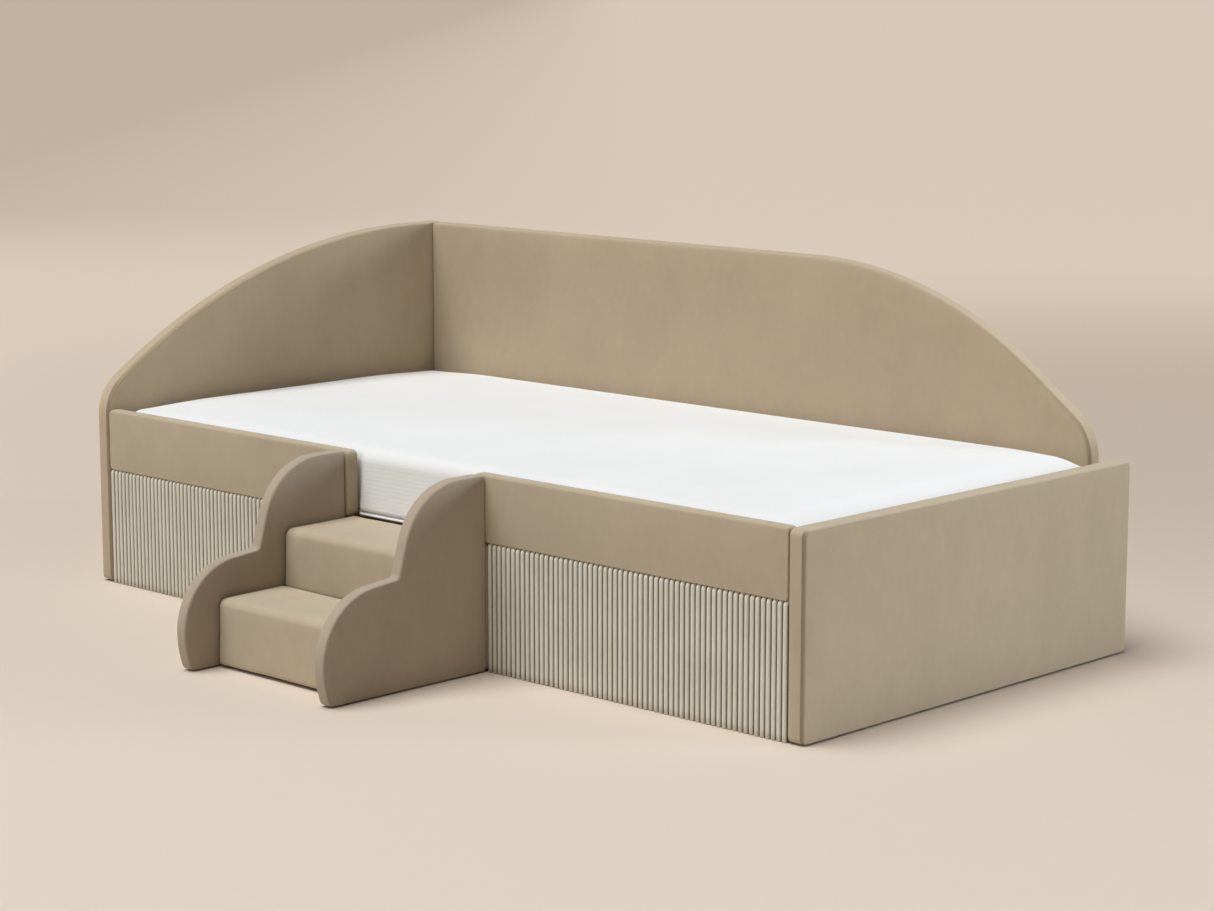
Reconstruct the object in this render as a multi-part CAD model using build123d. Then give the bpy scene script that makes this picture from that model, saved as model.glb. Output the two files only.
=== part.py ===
from build123d import *
import math
import os

# Upholstered corner bed for a young child, with a two-step stair that pulls away.
# +X runs along the bed to the foot end, +Y to the wall side, +Z up.
# The origin is on the floor, in the middle of the whole footprint, stair included.

# Bed, overall
LENGTH = 2000.0  # over the head and foot panels
WIDTH = 990.0  # front face to wall face
PANEL_TOP = 725.0  # top of the head and back panels
RAIL_TOP = 380.0  # top of the front rail and the foot panel
SEAM_Z = 250.0  # the plain rail band ends and the flutes begin here
GLIDE_H = 3.0  # the glides hold the boards this far off the floor

# Head, back and foot panels: a board wrapped in foam and velvet
PANEL = 40.0
BOARD = 18.0
PAD = (PANEL - BOARD) / 2
EDGE_R = 7.0  # soft rounding of the padded edges
CORNER_R = 8.0
BOARD_CORNER_R = 3.0
HEAD_RUN = 900.0  # the head arch levels out this far from the front
HEAD_ARC = 1465.0
HEAD_SHOULDER_R = 100.0  # where the arch meets its upright front end
BACK_LEVEL_END = 198.0  # x where the back panel's top starts to fall
BACK_ARC = 966.0
BACK_SLOPE = 36.7  # degrees, the straight run below that arc
BACK_END = 920.0  # x of the upright end of the tall part
BACK_SHOULDER_R = 110.0
BACK_SHELF_Z = 345.0  # the low part runs on to the foot panel at this height
FOOT_SETBACK = 12.0  # the foot panel stops this far short of the wall

# Front: a notched board with a padded rail cap and fluted panels
RAIL = 30.0
FRONT_PAD = 8.0
RAIL_LINING = 4.0
RAIL_TOP_PAD = 10.0
RAIL_GAP = 1.5  # shadow gap between the rail and the end panels
RAIL_R = 6.0
RAIL_CORNER_R = 7.0
ENTRY = 360.0  # clear width between the rail's two lengths
ENTRY_PAD = 10.0
NOTCH_Z = 205.0
FLUTE_PITCH = 12.5
FLUTE_COUNT = 59
FLUTE_DEPTH = 5.0
FLUTE_BOTTOM = 3.0
SEAM_GAP = 1.0

# Mattress
MATTRESS_BOTTOM = 245.0
MATTRESS_TOP = 390.0
MATTRESS_CLEAR = 4.0  # to the panels, all round
MATTRESS_COVER = 10.0  # round the sides of the foam
MATTRESS_TOPPER = 28.0  # quilted thickness of the cover over the foam
MATTRESS_BASE = 5.0
MATTRESS_CORNER_R = 45.0
MATTRESS_EDGE_R = 35.0

# Slatted base
SLAT = (70.0, 18.0)  # width, thickness
SLAT_R = 3.0
SLAT_COUNT = 14
SLAT_TOP = 243.0
SLAT_CLEAR = 2.0
LEDGER = 30.0
TAPE = (25.0, 1.0)
TAPE_INSET = 150.0
BEAM = (45.0, 60.0)
BEAM_LEG_X = (-480.0, 0.0, 480.0)
STEEL = 3.0
HANGER_LENGTH = 45.0
HANGER_EAR = 22.0

# Corner brackets and fasteners
BRACKET = 40.0
BRACKET_Z = (40.0, 180.0)
BOLT_Z = (70.0, 150.0)
BOLT_INSET = 24.0
BOLT_R = 3.0
BOLT_HEAD = (6.5, 4.0)  # radius, height
INSERT = (5.0, 13.0)  # radius, length
SCREW_R = 2.5
SCREW_HEAD_R = 4.5
SCREW_BITE = 12.0  # depth in the board
SCREW_COUNT = 6
HOLE_CLEAR = 0.2
GLIDE_R = 9.0
GLIDE_CHAMFER = 1.5
GLIDE_SHARES = (0.1, 0.5, 0.9)  # places along the head and foot boards
GLIDE_X = (-800.0, -300.0, 300.0, 800.0)  # places along the front and back boards

# Stair
CHEEK = 31.0
STAIR_INNER = 185.0  # half the width between the cheeks
STAIR_GAP = 1.0  # between the stair and the bed front
LOW_LOBE = (-270.0, 76.0)  # centres of a cheek's two lobes: distance from the bed front, height
LOW_R = 132.0
TOE_R = 200.0  # the low lobe is flatter below its centre
HIGH_LOBE = (-65.0, 242.0)
HIGH_R = 138.0
NECK_LEAN = 16.0  # degrees from upright, below the high lobe
SHELF_FALL = 5.0  # degrees towards the front, on top of the low lobe
NOTCH_R = 13.0  # where the neck meets the shelf
CHEEK_EDGE_R = 4.0
STEP_PAD = 20.0
STEP_BOARD = 15.0
STEP_EDGE_R = 18.0
STEP_END_R = 6.0
STEP_CLEAR = 1.0  # between a step pad and the cheeks
LOWER_STEP = (-328.0, 136.0)  # riser face, tread top
UPPER_STEP = (-162.0, 249.0)
TONGUE = 24.0  # the upper tread reaches this far into the entry
TONGUE_WRAP = 4.0
REAR_BOARD = -35.0
CLEAT = 20.0
CLEAT_SCREW_SHARES = (0.2, 0.8)
STAIR_GLIDE_Y = (-342.0, -40.0)

# Positions worked out from the above
STAIR_REACH = LOW_R - LOW_LOBE[0] + STAIR_GAP
FRONT = (STAIR_REACH - WIDTH) / 2
BACK = FRONT + WIDTH
END = LENGTH / 2
INNER = END - PANEL
WELL_FRONT = FRONT + RAIL
WELL_BACK = BACK - PANEL
BOARD_FRONT = FRONT + FRONT_PAD
BOARD_BACK = WELL_FRONT - RAIL_LINING
SLAT_BOTTOM = SLAT_TOP - SLAT[1]
MIDDLE = (WELL_FRONT + WELL_BACK) / 2
STAIR_HALF = STAIR_INNER + CHEEK
CHEEK_PAD = (CHEEK - BOARD) / 2
STAIR_BACK = FRONT - STAIR_GAP


def block(low, high):
    """A box given by its lowest and highest corners."""
    size = [b - a for a, b in zip(low, high)]
    middle = [(a + b) / 2 for a, b in zip(low, high)]
    return Pos(*middle) * Box(*size)


def group(solids):
    """Separate solids kept side by side in one node."""
    return Compound(children=list(solids))


def side_plane(x, y=0.0):
    """Sketch plane across the bed: sketch x is +Y, sketch y is +Z."""
    return Plane(origin=(x, y, 0), x_dir=(0, 1, 0), z_dir=(1, 0, 0))


def long_plane(y):
    """Sketch plane along the bed: sketch x is +X, sketch y is +Z, facing the front."""
    return Plane(origin=(0, y, 0), x_dir=(1, 0, 0), z_dir=(0, -1, 0))


def rod(start, direction, radius, length):
    """A round bar from a point along a direction."""
    return extrude(Plane(origin=start, z_dir=direction) * Circle(radius), amount=length)


def moved(point, direction, distance):
    return tuple(p + d * distance for p, d in zip(point, direction))


def soften(solid, axis, radius):
    """Rounds the rims of a panel's two broad faces, but not along its underside."""
    faces = solid.faces().sort_by(axis)
    rims = faces[0].edges() + faces[-1].edges()
    return fillet([e for e in rims if e.center().Z > GLIDE_H + 1], radius)


# Padded panels: each outline is drawn at an inset, 0 for the padding and its thickness for the board


def head_face(inset):
    front = FRONT + inset
    back = BACK - inset
    top = PANEL_TOP - inset
    centre = (FRONT + HEAD_RUN, PANEL_TOP - HEAD_ARC)
    radius = HEAD_ARC - inset
    half_way = (front + centre[0]) / 2

    def arch(y):
        return centre[1] + math.sqrt(radius**2 - (y - centre[0]) ** 2)

    with BuildSketch() as face:
        with BuildLine():
            ThreePointArc((front, arch(front)), (half_way, arch(half_way)), (centre[0], top))
            Polyline(
                (centre[0], top), (back, top), (back, GLIDE_H), (front, GLIDE_H), (front, arch(front))
            )
        make_face()
        fillet(face.vertices().sort_by_distance((front, arch(front)))[0], HEAD_SHOULDER_R - inset)
        fillet(face.vertices().sort_by_distance((back, top))[0], max(CORNER_R - inset, BOARD_CORNER_R))
    return face.sketch


def back_face(inset):
    left = -INNER + inset
    top = PANEL_TOP - inset
    end = BACK_END - inset
    shelf = BACK_SHELF_Z - inset
    right = INNER - inset
    centre = (BACK_LEVEL_END, PANEL_TOP - BACK_ARC)
    radius = BACK_ARC - inset
    slope = math.radians(BACK_SLOPE)

    def arch(angle):
        return (centre[0] + radius * math.sin(angle), centre[1] + radius * math.cos(angle))

    fall = arch(slope)
    shoulder = (end, fall[1] - (end - fall[0]) * math.tan(slope))
    with BuildSketch() as face:
        with BuildLine():
            Polyline(
                shoulder,
                (end, shelf),
                (right, shelf),
                (right, GLIDE_H),
                (left, GLIDE_H),
                (left, top),
                (centre[0], top),
            )
            ThreePointArc((centre[0], top), arch(slope / 2), fall)
            Line(fall, shoulder)
        make_face()
        fillet(face.vertices().sort_by_distance(shoulder)[0], BACK_SHOULDER_R - inset)
        fillet(face.vertices().sort_by_distance((left, top))[0], max(CORNER_R - inset, BOARD_CORNER_R))
        fillet(face.vertices().sort_by_distance((end, shelf))[0], CORNER_R)
    return face.sketch


def foot_face(inset):
    low = (FRONT + inset, GLIDE_H)
    high = (BACK - FOOT_SETBACK - inset, RAIL_TOP - inset)
    with BuildSketch() as face:
        with BuildLine():
            Polyline(low, (low[0], high[1]), high, (high[0], low[1]), close=True)
        make_face()
        fillet(face.vertices().group_by(Axis.Y)[-1], max(CORNER_R - inset, BOARD_CORNER_R))
    return face.sketch


def cheek_face(inset):
    """Two round lobes, one above and behind the other, with a leaning neck and a sloping shelf."""
    lean = math.radians(NECK_LEAN)
    fall = math.radians(SHELF_FALL)
    toe_centre = (LOW_LOBE[0] - LOW_R + TOE_R, LOW_LOBE[1])
    foot_angle = math.pi / 2 + math.asin((LOW_LOBE[1] - GLIDE_H) / (TOE_R - inset))

    def bow(centre, radius, start, end):
        """An arc between two angles, measured from straight up towards the front."""
        angles = (start, (start + end) / 2, end)
        points = [(centre[0] - radius * math.sin(a), centre[1] + radius * math.cos(a)) for a in angles]
        return ThreePointArc(*points)

    with BuildSketch() as face:
        with BuildLine():
            toe = bow(toe_centre, TOE_R - inset, foot_angle, math.pi / 2)
            low = bow(LOW_LOBE, LOW_R - inset, math.pi / 2, fall)
            high = bow(HIGH_LOBE, HIGH_R - inset, math.pi / 2 - lean, 0)
            gap = high @ 0 - low @ 1
            run = (gap.X * math.cos(lean) - gap.Y * math.sin(lean)) / math.cos(lean + fall)
            notch = low @ 1 + Vector(math.cos(fall), math.sin(fall)) * run
            top = HIGH_LOBE[1] + HIGH_R - inset
            Polyline(low @ 1, notch, high @ 0)
            Polyline(high @ 1, (-inset, top), (-inset, GLIDE_H), toe @ 0)
        make_face()
        fillet(face.vertices().sort_by_distance(notch)[0], NOTCH_R + inset)
    return face.sketch


def panel(outline, plane, thickness, thickness_axis, edge_radius):
    """The padding and the board of one upholstered panel, the board set into the padding."""
    pad = (thickness - BOARD) / 2
    padding = soften(extrude(plane * outline(0), amount=thickness), thickness_axis, edge_radius)
    board_plane = Plane(origin=plane.origin + plane.z_dir * pad, x_dir=plane.x_dir, z_dir=plane.z_dir)
    board = extrude(board_plane * outline(pad), amount=BOARD)
    return padding - board, board


# Front of the bed


def front_board():
    half = ENTRY / 2 + ENTRY_PAD
    board = block((-INNER, BOARD_FRONT, GLIDE_H), (INNER, BOARD_BACK, RAIL_TOP - RAIL_TOP_PAD))
    return board - block((-half, BOARD_FRONT, NOTCH_Z), (half, BOARD_BACK, RAIL_TOP))


def rail_pad(side, board):
    """A padded cap over the board's top, front and inside, closed at the entry end."""
    outer_x = side * (INNER - RAIL_GAP)
    entry_x = side * ENTRY / 2
    low_x, high_x = sorted((outer_x, entry_x))
    cap = block((low_x, FRONT, SEAM_Z), (high_x, WELL_FRONT, RAIL_TOP))
    top_edges = cap.edges().filter_by(Axis.Y).group_by(Axis.Z)[-1]
    cap = fillet(top_edges.sort_by_distance((outer_x, FRONT, RAIL_TOP))[0], RAIL_CORNER_R)
    face_rim = [e for e in cap.faces().sort_by(Axis.Y)[0].edges() if e.center().Z > SEAM_Z + 1]
    cap = fillet(face_rim, RAIL_R)
    return cap - board


def fluted_panel(side):
    """Upright round flutes side by side on a thin backing, rounded off at both ends."""
    span = FLUTE_COUNT * FLUTE_PITCH
    middle = side * (INNER + STAIR_HALF) / 2
    start = middle - span / 2
    valley = FRONT + FLUTE_DEPTH
    with BuildSketch() as section:
        with BuildLine():
            for i in range(FLUTE_COUNT):
                left = start + i * FLUTE_PITCH
                right = left + FLUTE_PITCH
                ThreePointArc((left, valley), ((left + right) / 2, FRONT), (right, valley))
            end = start + span
            Polyline((end, valley), (end, BOARD_FRONT), (start, BOARD_FRONT), (start, valley))
        make_face()
    top = SEAM_Z - SEAM_GAP
    flutes = extrude(Pos(0, 0, FLUTE_BOTTOM) * section.sketch, amount=top - FLUTE_BOTTOM)
    whole = block((start, FRONT, FLUTE_BOTTOM), (start + span, BOARD_FRONT, top))
    return flutes & fillet(whole.edges().filter_by(Axis.X).group_by(Axis.Y)[0], FLUTE_DEPTH)


def entry_panel():
    """The plain padded panel behind the stair, cut away for the upper tread."""
    half = STAIR_HALF - SEAM_GAP
    inner = STAIR_INNER
    whole = block((-half, FRONT, FLUTE_BOTTOM), (half, BOARD_FRONT, SEAM_Z - SEAM_GAP))
    return whole - block((-inner, FRONT, NOTCH_Z), (inner, BOARD_FRONT, SEAM_Z))


# Mattress: foam, a cover that drops over it and a base cloth


def mattress_block(inset, low_z, high_z):
    size_x = 2 * (INNER - MATTRESS_CLEAR - inset)
    size_y = WELL_BACK - WELL_FRONT - 2 * (MATTRESS_CLEAR + inset)
    outline = RectangleRounded(size_x, size_y, MATTRESS_CORNER_R - inset)
    return extrude(Pos(0, MIDDLE, low_z) * outline, amount=high_z - low_z)


def mattress():
    """Foam, a cover with a thick quilted top, and a base cloth."""
    base_top = MATTRESS_BOTTOM + MATTRESS_BASE
    base = mattress_block(0, MATTRESS_BOTTOM, base_top)
    cover = mattress_block(0, base_top, MATTRESS_TOP)
    cover = fillet(cover.faces().sort_by(Axis.Z)[-1].edges(), MATTRESS_EDGE_R)
    core = mattress_block(MATTRESS_COVER, base_top, MATTRESS_TOP - MATTRESS_TOPPER)
    core = fillet(core.faces().sort_by(Axis.Z)[-1].edges(), MATTRESS_EDGE_R - MATTRESS_COVER)
    return core, cover - core, base


# Slatted base


def ledgers():
    low, high = SLAT_BOTTOM - LEDGER, SLAT_BOTTOM
    reach = INNER - BRACKET
    front = block((-reach, BOARD_BACK, low), (reach, BOARD_BACK + LEDGER, high))
    back = block((-reach, WELL_BACK - LEDGER, low), (reach, WELL_BACK, high))
    return front, back


def slat_centres():
    pitch = 2 * INNER / SLAT_COUNT
    return [-INNER + pitch * (i + 0.5) for i in range(SLAT_COUNT)]


def slats():
    half = SLAT[0] / 2
    low_y = BOARD_BACK + SLAT_CLEAR
    high_y = WELL_BACK - SLAT_CLEAR
    made = [block((x - half, low_y, SLAT_BOTTOM), (x + half, high_y, SLAT_TOP)) for x in slat_centres()]
    return [fillet(slat.edges().filter_by(Axis.Y), SLAT_R) for slat in made]


def slat_tapes():
    reach = slat_centres()[-1] + SLAT[0] / 2
    half = TAPE[0] / 2
    lines = (WELL_FRONT + TAPE_INSET, WELL_BACK - TAPE_INSET)
    return [block((-reach, y - half, SLAT_TOP), (reach, y + half, SLAT_TOP + TAPE[1])) for y in lines]


def centre_beam():
    reach = INNER - STEEL
    half = BEAM[0] / 2
    return block((-reach, MIDDLE - half, SLAT_BOTTOM - BEAM[1]), (reach, MIDDLE + half, SLAT_BOTTOM))


def beam_hanger(side):
    """A steel shoe for the beam's end, on a plate with an ear each side for its screws."""
    half = BEAM[0] / 2
    floor = SLAT_BOTTOM - BEAM[1]
    wall = side * INNER
    plate_x = side * (INNER - STEEL)
    tip_x = side * (INNER - STEEL - HANGER_LENGTH)
    ear = half + STEEL + HANGER_EAR

    def piece(xs, ys, zs):
        low_x, high_x = sorted(xs)
        return block((low_x, MIDDLE + ys[0], zs[0]), (high_x, MIDDLE + ys[1], zs[1]))

    top = SLAT_BOTTOM - LEDGER / 2
    plate = piece((wall, plate_x), (-ear, ear), (floor - STEEL, top))
    shoe = piece((plate_x, tip_x), (-half - STEEL, half + STEEL), (floor - STEEL, top))
    return plate + (shoe - piece((plate_x, tip_x), (-half, half), (floor, top)))


def centre_legs():
    half = BEAM[0] / 2
    top = SLAT_BOTTOM - BEAM[1]
    return [block((x - half, MIDDLE - half, GLIDE_H), (x + half, MIDDLE + half, top)) for x in BEAM_LEG_X]


def glide(x, y):
    foot = extrude(Pos(x, y) * Circle(GLIDE_R), amount=GLIDE_H)
    return chamfer(foot.edges().group_by(Axis.Z)[0], GLIDE_CHAMFER)


def bed_glides():
    head_x = END - PANEL / 2
    front_y = (BOARD_FRONT + BOARD_BACK) / 2
    back_y = BACK - PANEL / 2
    places = [(side * head_x, FRONT + WIDTH * share) for side in (-1, 1) for share in GLIDE_SHARES]
    places += [(x, y) for y in (front_y, back_y) for x in GLIDE_X]
    places += [(x, MIDDLE) for x in BEAM_LEG_X]
    return [glide(x, y) for x, y in places]


# Fasteners: each returns the piece and the holes that it needs


def bolt(seat, direction, pad):
    """A bracket bolt and its threaded insert. The seat is on the panel face, the bracket on top of it."""
    head_start = moved(seat, direction, -STEEL)
    shank = rod(head_start, direction, BOLT_R, STEEL + pad + INSERT[1])
    head = rod(head_start, [-d for d in direction], *BOLT_HEAD)
    board_face = moved(seat, direction, pad)
    bore = rod(board_face, direction, BOLT_R + HOLE_CLEAR, INSERT[1])
    insert = rod(board_face, direction, *INSERT)
    clearance = rod(head_start, direction, BOLT_R + HOLE_CLEAR, STEEL + pad)
    return head + shank, insert - bore, clearance, insert


def screw(head_at, direction, length):
    """A countersunk wood screw and its hole."""

    def shape(extra):
        sink = SCREW_HEAD_R - SCREW_R
        plane = Plane(origin=head_at, z_dir=direction)
        cone_plane = Plane(origin=moved(head_at, direction, sink / 2), z_dir=direction)
        cone = cone_plane * Cone(SCREW_HEAD_R + extra, SCREW_R + extra, sink)
        return cone + extrude(plane * Circle(SCREW_R + extra), amount=length + extra)

    return shape(0), shape(HOLE_CLEAR)


def corner_hardware():
    """Steel angles in the four inner corners, with two bolts in each flange."""
    brackets, bolts, inserts = [], [], []
    holes = {"head": [], "foot": [], "front": [], "back": []}
    for side, end in ((-1, "head"), (1, "foot")):
        for run, along in ((1, "front"), (-1, "back")):
            face_y = BOARD_BACK if run == 1 else WELL_BACK
            face_x = side * INNER
            xs = sorted((face_x, face_x - side * BRACKET))
            ys = sorted((face_y, face_y + run * BRACKET))
            inner_xs = sorted((face_x - side * STEEL, face_x - side * BRACKET))
            inner_ys = sorted((face_y + run * STEEL, face_y + run * BRACKET))
            low_z, high_z = BRACKET_Z
            angle = block((xs[0], ys[0], low_z), (xs[1], ys[1], high_z))
            angle -= block((inner_xs[0], inner_ys[0], low_z), (inner_xs[1], inner_ys[1], high_z))
            for z in BOLT_Z:
                end_seat = (face_x, face_y + run * BOLT_INSET, z)
                along_seat = (face_x - side * BOLT_INSET, face_y, z)
                along_pad = 0 if along == "front" else PAD
                places = ((end, end_seat, (side, 0, 0), PAD), (along, along_seat, (0, -run, 0), along_pad))
                for name, seat, direction, pad in places:
                    piece, insert, clearance, pocket = bolt(seat, direction, pad)
                    bolts.append(piece)
                    inserts.append(insert)
                    angle -= clearance
                    holes[name] += [clearance, pocket]
            brackets.append(angle)
    return brackets, bolts, inserts, holes


def base_screws():
    """Screws through the ledgers and the beam hangers into the boards."""
    screws = []
    holes = {"head": [], "foot": [], "front": [], "back": []}
    reach = INNER - 2 * BRACKET
    ledger_z = SLAT_BOTTOM - LEDGER / 2
    ear = BEAM[0] / 2 + STEEL + HANGER_EAR / 2
    hanger_z = SLAT_BOTTOM - BEAM[1] / 2
    places = []
    for i in range(SCREW_COUNT):
        x = -reach + 2 * reach * i / (SCREW_COUNT - 1)
        places.append(("front", (x, BOARD_BACK + LEDGER, ledger_z), (0, -1, 0), LEDGER))
        places.append(("back", (x, WELL_BACK - LEDGER, ledger_z), (0, 1, 0), LEDGER + PAD))
    for side, end in ((-1, "head"), (1, "foot")):
        for y in (MIDDLE - ear, MIDDLE + ear):
            places.append((end, (side * (INNER - STEEL), y, hanger_z), (side, 0, 0), STEEL + PAD))
    for name, head_at, direction, before_board in places:
        piece, hole = screw(head_at, direction, before_board + SCREW_BITE)
        screws.append(piece)
        holes[name].append(hole)
    return screws, holes


# Stair


def stair_block(half_x, low, high):
    """A board across the stair: y is measured from the stair's back face."""
    return block((-half_x, STAIR_BACK + low[0], low[1]), (half_x, STAIR_BACK + high[0], high[1]))


def step_pad(points, rounded):
    """Foam and velvet over one step, as one bent profile between the cheeks."""
    half = STAIR_INNER - STEP_CLEAR
    with BuildSketch() as section:
        with BuildLine():
            Polyline(*points, close=True)
        make_face()
        for point, radius in rounded:
            fillet(section.vertices().sort_by_distance(point)[0], radius)
    return extrude(side_plane(-half, STAIR_BACK) * section.sketch, amount=2 * half)


def lower_step_pad():
    front, top = LOWER_STEP
    back = UPPER_STEP[0]
    under = top - STEP_PAD
    inner = front + STEP_PAD
    outline = ((front, GLIDE_H), (front, top), (back, top), (back, under), (inner, under), (inner, GLIDE_H))
    return step_pad(outline, (((front, top), STEP_EDGE_R), ((front, GLIDE_H), STEP_END_R)))


def upper_step_pad():
    front, top = UPPER_STEP
    foot = LOWER_STEP[1]
    under = top - STEP_PAD
    inner = front + STEP_PAD
    wrap = TONGUE - TONGUE_WRAP
    low = under - STEP_BOARD
    outline = (
        (front, foot),
        (front, top),
        (TONGUE, top),
        (TONGUE, low),
        (wrap, low),
        (wrap, under),
        (inner, under),
        (inner, foot),
    )
    return step_pad(outline, (((front, top), STEP_EDGE_R), ((TONGUE, top), STEP_END_R)))


def step_boards():
    half = STAIR_INNER
    lower_y = LOWER_STEP[0] + STEP_PAD
    upper_y = UPPER_STEP[0] + STEP_PAD
    lower_top = LOWER_STEP[1] - STEP_PAD
    upper_top = UPPER_STEP[1] - STEP_PAD
    upper_under = upper_top - STEP_BOARD
    lower_under = lower_top - STEP_BOARD
    return {
        "lower_riser_board": stair_block(half, (lower_y, GLIDE_H), (lower_y + STEP_BOARD, lower_under)),
        "lower_tread_board": stair_block(half, (lower_y, lower_under), (upper_y + STEP_BOARD, lower_top)),
        "upper_riser_board": stair_block(half, (upper_y, lower_top), (upper_y + STEP_BOARD, upper_under)),
        "upper_tread_board": stair_block(
            half - STEP_CLEAR, (upper_y, upper_under), (TONGUE - TONGUE_WRAP, upper_top)
        ),
        "stair_rear_board": stair_block(half, (REAR_BOARD, GLIDE_H), (REAR_BOARD + STEP_BOARD, upper_under)),
    }


def stair_cleats():
    """Battens on the cheeks under both treads, with their screws and the screws' holes."""
    cleats, screws = [], []
    holes = {-1: [], 1: []}
    lower_run = (LOWER_STEP[0] + STEP_PAD + STEP_BOARD, UPPER_STEP[0] + STEP_PAD + STEP_BOARD)
    upper_run = (lower_run[1], REAR_BOARD)
    lower_top = LOWER_STEP[1] - STEP_PAD - STEP_BOARD
    upper_top = UPPER_STEP[1] - STEP_PAD - STEP_BOARD
    for side in (-1, 1):
        wall = side * STAIR_INNER
        inner = wall - side * CLEAT
        low_x, high_x = sorted((wall, inner))
        for (run_start, run_end), top in ((lower_run, lower_top), (upper_run, upper_top)):
            low = (low_x, STAIR_BACK + run_start, top - CLEAT)
            cleat = block(low, (high_x, STAIR_BACK + run_end, top))
            for share in CLEAT_SCREW_SHARES:
                y = STAIR_BACK + run_start + share * (run_end - run_start)
                head_at = (inner, y, top - CLEAT / 2)
                piece, hole = screw(head_at, (side, 0, 0), CLEAT + CHEEK_PAD + SCREW_BITE)
                screws.append(piece)
                holes[side].append(hole)
                cleat -= hole
            cleats.append(cleat)
    return cleats, screws, holes


def stair_glides():
    x = STAIR_INNER + CHEEK / 2
    places = [(side * x, STAIR_BACK + y) for side in (-1, 1) for y in STAIR_GLIDE_Y]
    return [glide(*place) for place in places]


def cut(solid, holes):
    for hole in holes:
        solid = solid - hole
    return solid


def build():
    nodes = {}
    brackets, bolts, inserts, bolt_holes = corner_hardware()
    screws, screw_holes = base_screws()
    holes = {name: bolt_holes[name] + screw_holes[name] for name in bolt_holes}
    front_ledger, back_ledger = ledgers()

    panels = {
        "head": (head_face, side_plane(-END), Axis.X),
        "foot": (foot_face, side_plane(INNER), Axis.X),
        "back": (back_face, long_plane(BACK), Axis.Y),
    }
    for name, (outline, plane, axis) in panels.items():
        padding, board = panel(outline, plane, PANEL, axis, EDGE_R)
        nodes[name + "_pad"] = cut(padding, holes[name])
        nodes[name + "_board"] = cut(board, holes[name])

    board = front_board()
    nodes["front_board"] = cut(board, holes["front"])
    for side, word in ((-1, "left"), (1, "right")):
        nodes["rail_pad_" + word] = rail_pad(side, board)
        nodes["fluted_panel_" + word] = fluted_panel(side)
    nodes["entry_panel"] = entry_panel()

    nodes["front_ledger"] = cut(front_ledger, holes["front"])
    nodes["back_ledger"] = cut(back_ledger, holes["back"])
    nodes["slats"] = group(slats())
    nodes["slat_tapes"] = group(slat_tapes())
    nodes["centre_beam"] = centre_beam()
    nodes["beam_hangers"] = group(
        [cut(beam_hanger(-1), screw_holes["head"]), cut(beam_hanger(1), screw_holes["foot"])]
    )
    nodes["centre_legs"] = group(centre_legs())
    nodes["corner_brackets"] = group(brackets)
    nodes["bracket_bolts"] = group(bolts)
    nodes["threaded_inserts"] = group(inserts)
    nodes["base_screws"] = group(screws)
    nodes["floor_glides"] = group(bed_glides())

    nodes["mattress_core"], nodes["mattress_cover"], nodes["mattress_base"] = mattress()

    cleats, cleat_screws, cheek_holes = stair_cleats()
    for side, word in ((-1, "left"), (1, "right")):
        start = -STAIR_HALF if side == -1 else STAIR_INNER
        plane = side_plane(start, STAIR_BACK)
        padding, board = panel(cheek_face, plane, CHEEK, Axis.X, CHEEK_EDGE_R)
        nodes["stair_cheek_pad_" + word] = cut(padding, cheek_holes[side])
        nodes["stair_cheek_board_" + word] = cut(board, cheek_holes[side])
    nodes.update(step_boards())
    nodes["lower_step_pad"] = lower_step_pad()
    nodes["upper_step_pad"] = upper_step_pad()
    nodes["stair_cleats"] = group(cleats)
    nodes["cleat_screws"] = group(cleat_screws)
    nodes["stair_glides"] = group(stair_glides())
    return nodes


os.makedirs("parts", exist_ok=True)
for name, shape in build().items():
    export_step(shape, f"parts/{name}.step")
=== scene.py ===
import math
import random

import bmesh
import bpy
import numpy as np
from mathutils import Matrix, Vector
from mathutils.geometry import delaunay_2d_cdt

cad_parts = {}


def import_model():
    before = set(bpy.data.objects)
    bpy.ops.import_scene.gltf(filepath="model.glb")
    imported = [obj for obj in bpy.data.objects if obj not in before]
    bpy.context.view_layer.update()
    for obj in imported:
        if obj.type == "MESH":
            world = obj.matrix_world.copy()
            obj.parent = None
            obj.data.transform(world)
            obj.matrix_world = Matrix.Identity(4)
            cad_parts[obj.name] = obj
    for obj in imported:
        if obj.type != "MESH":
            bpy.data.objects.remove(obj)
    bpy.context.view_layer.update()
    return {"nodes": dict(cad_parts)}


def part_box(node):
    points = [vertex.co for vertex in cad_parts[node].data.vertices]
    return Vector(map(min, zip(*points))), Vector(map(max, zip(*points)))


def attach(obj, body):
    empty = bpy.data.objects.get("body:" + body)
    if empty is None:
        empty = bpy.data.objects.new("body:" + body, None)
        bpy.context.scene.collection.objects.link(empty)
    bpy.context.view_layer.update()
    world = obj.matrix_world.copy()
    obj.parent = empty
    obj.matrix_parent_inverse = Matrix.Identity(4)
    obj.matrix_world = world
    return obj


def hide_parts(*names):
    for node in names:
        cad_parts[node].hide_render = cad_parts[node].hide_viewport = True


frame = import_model()

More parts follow.
